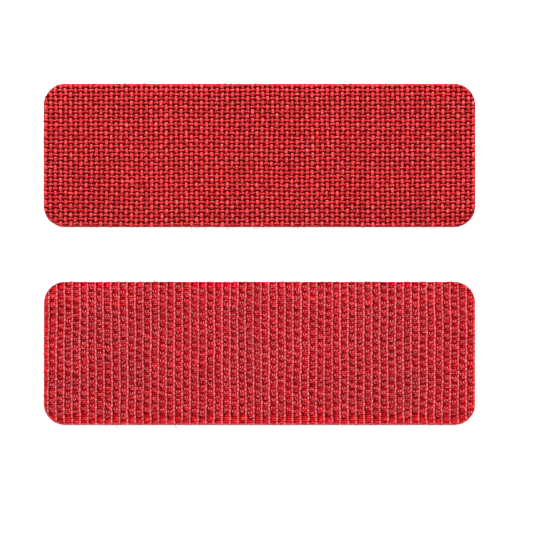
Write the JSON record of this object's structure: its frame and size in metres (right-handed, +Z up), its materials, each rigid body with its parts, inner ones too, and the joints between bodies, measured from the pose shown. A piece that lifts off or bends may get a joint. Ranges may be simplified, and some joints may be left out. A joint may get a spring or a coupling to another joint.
{
  "type": "climbing skins",
  "caption": "Pair of short flat textile pads with rounded corners, woven on the face and ribbed with rows of loops on the grip side, one lying face up and one turned over.",
  "frame": {"origin": "On the table, midway between the two pads", "axes": "+X along the pads, +Y from the turned-over pad to the face-up pad, +Z up out of the table"},
  "size_m": [0.076, 0.0602, 0.002],
  "materials": {
    "face_yarn": "plain-woven textured nylon yarn, dyed red",
    "bonding_film": "soft polyurethane bonding film",
    "base_cloth": "resin-coated base cloth, dark red",
    "ground_yarn": "fine nylon ground yarn, red",
    "cord_yarn": "bulked nylon cord, light red",
    "loop_filament": "drawn nylon filament, red, semi-gloss"
  },
  "bodies": {
    "upper_pad": {"upper_face_ends": "face_yarn", "upper_face_picks": "face_yarn", "upper_bonding_film": "bonding_film", "upper_base_cloth": "base_cloth", "upper_ground_picks": "ground_yarn", "upper_cords": "cord_yarn", "upper_loop_rows": "loop_filament"},
    "lower_pad": {"lower_face_ends": "face_yarn", "lower_face_picks": "face_yarn", "lower_bonding_film": "bonding_film", "lower_base_cloth": "base_cloth", "lower_ground_picks": "ground_yarn", "lower_cords": "cord_yarn", "lower_loop_rows": "loop_filament"}
  },
  "joints": [
    {"name": "turn_over", "type": "hinge", "parent": "upper_pad", "child": "lower_pad", "pos_m": [0, 0, 0.00215], "axis": [-1, 0, 0], "range_deg": [0, 180]}
  ]
}
